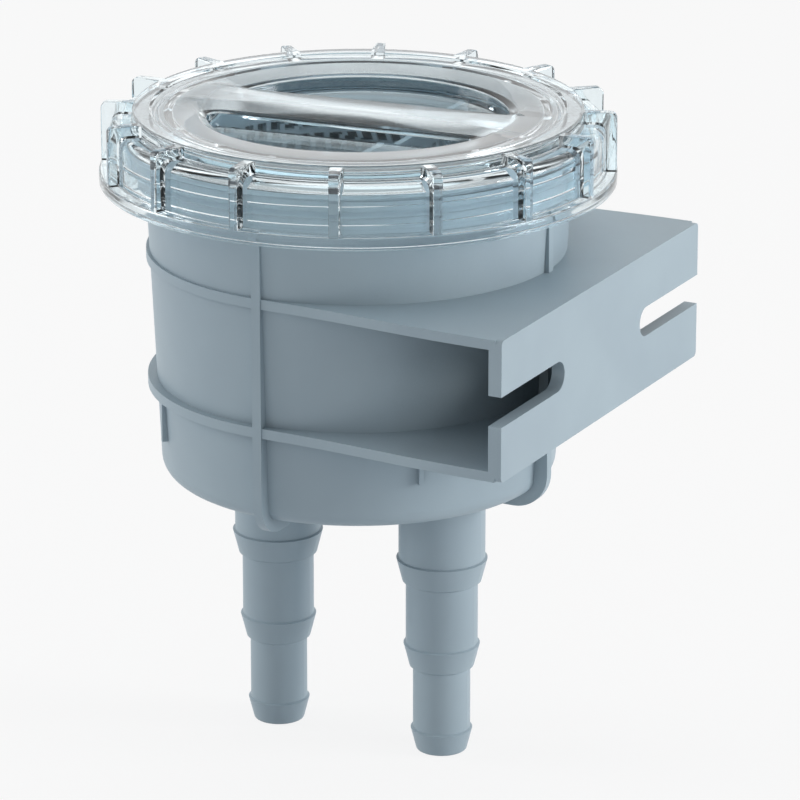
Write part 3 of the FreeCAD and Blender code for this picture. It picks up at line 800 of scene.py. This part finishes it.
def holeBlocksTree():
    # small blocks in rows and columns, the columns side by side or turned round the canister's axis
    tree, wiring, group, output = newTree("holeBlocks", {
        "Columns": ("NodeSocketInt", 10),
        "Rows": ("NodeSocketInt", 10),
        "First Angle": ("NodeSocketFloat", 0.0),
        "Angle Step": ("NodeSocketFloat", 0.0),
        "First Place": ("NodeSocketVector", None),
        "Column Step": ("NodeSocketVector", None),
        "Row Step": ("NodeSocketVector", None),
        "Axis X": ("NodeSocketFloat", 0.0),
        "Keep Radius": ("NodeSocketFloat", 1.0),
        "Finish": ("NodeSocketMaterial", None),
    })
    given = group.outputs
    points = wiring.node("GeometryNodePoints")
    wiring.join(calc(wiring, "MULTIPLY", given["Columns"], given["Rows"]), points.inputs["Count"])
    index = wiring.node("GeometryNodeInputIndex").outputs[0]
    column = calc(wiring, "FLOORED_MODULO", index, given["Columns"])
    row = calc(wiring, "FLOOR", calc(wiring, "DIVIDE", index, given["Columns"]))
    across = vectorCalc(wiring, "SCALE", given["Column Step"], column)
    up = vectorCalc(wiring, "SCALE", given["Row Step"], row)
    flatPlace = vectorCalc(wiring, "ADD", vectorCalc(wiring, "ADD", given["First Place"], across), up)
    angle = calc(wiring, "ADD", calc(wiring, "MULTIPLY", column, given["Angle Step"]), given["First Angle"])
    turned = wiring.node("ShaderNodeVectorRotate", rotation_type="Z_AXIS")
    wiring.join(flatPlace, turned.inputs["Vector"])
    wiring.join(angle, turned.inputs["Angle"])
    moved = vectorCalc(wiring, "ADD", turned.outputs[0], vectorOf(wiring, given["Axis X"]))
    # each point keeps its angle, because the ones left are numbered anew once some are gone
    keepAngle = wiring.node("GeometryNodeStoreNamedAttribute", data_type="FLOAT", domain="POINT")
    keepAngle.inputs["Name"].default_value = "turnAngle"
    wiring.join(points.outputs[0], keepAngle.inputs["Geometry"])
    wiring.join(angle, keepAngle.inputs["Value"])
    setPlace = wiring.node("GeometryNodeSetPosition")
    wiring.join(keepAngle.outputs[0], setPlace.inputs["Geometry"])
    wiring.join(moved, setPlace.inputs["Position"])
    here = wiring.node("GeometryNodeInputPosition")
    split = wiring.node("ShaderNodeSeparateXYZ")
    wiring.join(here.outputs[0], split.inputs[0])
    offX = calc(wiring, "SUBTRACT", split.outputs[0], given["Axis X"])
    offY = split.outputs[1]
    squared = calc(wiring, "ADD", calc(wiring, "MULTIPLY", offX, offX), calc(wiring, "MULTIPLY", offY, offY))
    outside = calc(wiring, "GREATER_THAN", calc(wiring, "SQRT", squared), given["Keep Radius"])
    cull = wiring.node("GeometryNodeDeleteGeometry", domain="POINT")
    wiring.join(setPlace.outputs[0], cull.inputs["Geometry"])
    wiring.join(outside, cull.inputs["Selection"])
    kept = wiring.node("GeometryNodeInputNamedAttribute", data_type="FLOAT")
    kept.inputs["Name"].default_value = "turnAngle"
    copies = wiring.node("GeometryNodeInstanceOnPoints")
    wiring.join(cull.outputs[0], copies.inputs["Points"])
    wiring.join(given["Geometry"], copies.inputs["Instance"])
    wiring.join(vectorOf(wiring, z=kept.outputs["Attribute"]), copies.inputs["Rotation"])
    finishTree(wiring, copies.outputs[0], group, output)
    return tree


def evenly(low, high, pitch, hole):
    # the first place and the number of holes that fit between two ends
    count = int((high - low - hole) // pitch) + 1
    return (low + high) / 2 - (count - 1) * pitch / 2, count


def makeBasket(s):
    tree = holeBlocksTree()
    radius, chord, wall, corner = s["radius"], s["chord"], s["wall"], s["corner"]
    hole, pitch = s["hole"], s["pitch"]
    outer = capOutline(radius, -chord, corner, arcSteps=s["arcSteps"])
    inner = capOutline(radius - wall, wall - chord, corner - wall / 2, arcSteps=s["arcSteps"])
    cup = loftedCap("basketCup", [(outer, s["base"]), (outer, s["top"])], -90)
    room = loftedCap("basketRoom", [(inner, s["base"] + wall), (inner, s["top"] + 1)], -90)
    sideBlock = blockMesh("sideHole", (-wall, -hole / 2, -hole / 2), (wall, hole / 2, hole / 2))
    floorBlock = blockMesh("floorHole", (-hole / 2, -hole / 2, -wall), (hole / 2, hole / 2, wall))

    def holes(name, block, columns, rows, firstPlace, columnStep, rowStep, **others):
        return runTree(name, tree, block, {
            "Columns": columns,
            "Rows": rows,
            "First Place": [v * mm for v in firstPlace],
            "Column Step": [v * mm for v in columnStep],
            "Row Step": [v * mm for v in rowStep],
            "First Angle": others.get("firstAngle", 0.0),
            "Angle Step": others.get("angleStep", 0.0),
            "Keep Radius": others.get("keepRadius", 1000.0) * mm,
            "Axis X": axisX * mm,
            "Finish": basketPlastic,
        })

    zFirst, rows = evenly(s["base"] + s["footHeight"], s["top"] - s["rimHeight"], pitch, hole)
    start = math.acos(chord / radius) + (corner + s["curvedMargin"]) / radius
    arcFirst, columns = evenly(start * radius, (2 * math.pi - start) * radius, pitch, hole)
    place = (radius - wall / 2, 0, zFirst)
    curved = holes("curvedHoles", sideBlock, columns, rows, place, (0, 0, 0), (0, 0, pitch),
                   firstAngle=arcFirst / radius, angleStep=pitch / radius)

    half = math.sqrt(radius ** 2 - chord ** 2) - corner - s["flatMargin"]
    yFirst, columns = evenly(-half, half, pitch, hole)
    place = (chord - wall / 2, yFirst, zFirst)
    flat = holes("flatHoles", sideBlock, columns, rows, place, (0, pitch, 0), (0, 0, pitch))

    reach = radius - s["floorMargin"]
    xFirst, columns = evenly(-reach, chord - wall - s["floorChordMargin"], pitch, hole)
    yFirst, rows = evenly(-reach, reach, pitch, hole)
    place = (xFirst, yFirst, s["base"] + wall / 2)
    under = holes("floorHoles", floorBlock, columns, rows, place, (pitch, 0, 0), (0, pitch, 0),
                  keepRadius=radius - s["floorKeep"])
    made = combine("basketForm", cup, [("DIFFERENCE", cutter) for cutter in (room, curved, flat, under)])
    return allIn(made, basketPlastic)


basket = newObject("mesh_basket", makeBasket(basketSizes))
smoothBelow(basket, 30)
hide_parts("strainer_basket")
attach(basket, "housing")
print("stage: basket made", len(basket.data.polygons))


studio = {
    "floor": linear(204, 209, 214),
    "floorSeen": linear(250, 250, 250),
    "floorGlow": 0.84,
    "floorReach": 6.0,
    "floorHeight": -0.0987,
    "skyColour": (0.97, 0.985, 1.0, 1),
    "skyLevel": 0.38,
    "skySeen": 1.0,
    "skyTop": 0.60,
    "skyFall": (0.30, 0.75),
    "lampsAim": (axisX * mm, 0, -0.02),
    "lamps": {  # place, width and power of each
        "rightLamp": ((1.40, 0.45, 0.32), 0.8, 12.0),
        "leftLamp": ((-1.42, -0.38, 0.45), 0.9, 6.8),
        "frontLamp": ((0.20, -1.40, 0.20), 0.9, 0.8),
        "topLamp": ((-0.1, 0.35, 1.45), 1.2, 2.5),
        "backLamp": ((-0.724, 1.258, 0.52), 0.5, 0.30),  # it shows in the lid's flat faces
    },
}
white = (1, 1, 1, 1)


def seenRays(wiring):
    # 1 for what the camera sees, straight, through the lid or as a reflection
    rays = wiring.node("ShaderNodeLightPath").outputs
    return calc(wiring, "MAXIMUM", rays["Is Camera Ray"], rays["Is Transmission Ray"], rays["Is Glossy Ray"])


def makeFloor(s):
    reach = s["floorReach"]
    corners = [(-reach, -reach), (reach, -reach), (reach, reach), (-reach, reach)]
    mesh = bpy.data.meshes.new("floor")
    mesh.from_pydata([(*corner, s["floorHeight"]) for corner in corners], [], [(0, 1, 2, 3)])
    material, wiring, output = newMaterial("floorPaint")
    matt = coloured(wiring, "ShaderNodeBsdfDiffuse", s["floor"])
    pale = coloured(wiring, "ShaderNodeBsdfDiffuse", s["floorSeen"])
    glow = coloured(wiring, "ShaderNodeEmission", white)
    paper = either(wiring, s["floorGlow"], pale.outputs[0], glow.outputs[0])
    ground = either(wiring, seenRays(wiring), matt.outputs[0], paper)
    wiring.join(ground, output.inputs["Surface"])
    mesh.materials.append(material)
    return mesh


def makeSky(s):
    # the sky that glass and gloss show is white low down and greyer overhead
    world = bpy.data.worlds.new("studio")
    world.use_nodes = True
    world.node_tree.nodes.clear()
    wiring = Wiring(world.node_tree)
    output = wiring.node("ShaderNodeOutputWorld")
    split = wiring.node("ShaderNodeSeparateXYZ")
    wiring.join(wiring.node("ShaderNodeTexCoord").outputs["Generated"], split.inputs[0])
    limits = (s["skySeen"], s["skyTop"])
    level = mapped(wiring, split.outputs[2], s["skyFall"], limits, interpolation_type="SMOOTHSTEP")
    bright = coloured(wiring, "ShaderNodeBackground", white)
    wiring.join(level, bright.inputs["Strength"])
    soft = coloured(wiring, "ShaderNodeBackground", s["skyColour"])
    soft.inputs["Strength"].default_value = s["skyLevel"]
    sky = either(wiring, seenRays(wiring), soft.outputs[0], bright.outputs[0])
    wiring.join(sky, output.inputs["Surface"])
    return world


def addLamp(name, place, target, width, power):
    light = bpy.data.lights.new(name, "AREA")
    light.shape = "DISK"
    light.size = width
    light.energy = power
    lamp = newObject(name, light)
    lamp.location = place
    lamp.rotation_mode = "QUATERNION"
    lamp.rotation_quaternion = (Vector(target) - Vector(place)).to_track_quat("-Z", "Y")


floor = newObject("floor", makeFloor(studio))
scene.world = makeSky(studio)
for name, (place, width, power) in studio["lamps"].items():
    addLamp(name, place, studio["lampsAim"], width, power)
print("stage: studio lit")


view = {
    "azimuth": 27.84,
    "elevation": 18.5,
    "distance": 1.151,
    "targetHeight": -0.0235,
    "aimSide": 0.009,
    "aimUp": 0.003,
    "lens": 236.0,
    "sensor": 36.0,
    "clip": (0.05, 50.0),
}


def addCamera(s):
    azimuth, elevation = math.radians(s["azimuth"]), math.radians(s["elevation"])
    level = math.cos(elevation)
    back = Vector((math.sin(azimuth) * level, -math.cos(azimuth) * level, math.sin(elevation)))
    side = Vector((0, 0, 1)).cross(back).normalized()
    target = Vector((axisX * mm, 0, s["targetHeight"]))
    aim = target + side * s["aimSide"] + Vector((0, 0, s["aimUp"]))
    data = bpy.data.cameras.new("camera")
    data.lens = s["lens"]
    data.sensor_width = s["sensor"]
    data.clip_start, data.clip_end = s["clip"]
    camera = newObject("camera", data)
    camera.location = target + back * s["distance"]
    camera.rotation_mode = "QUATERNION"
    camera.rotation_quaternion = (aim - camera.location).to_track_quat("-Z", "Y")
    return camera


scene.camera = addCamera(view)
scene.view_settings.view_transform = "Standard"

print("stage: scene ready")
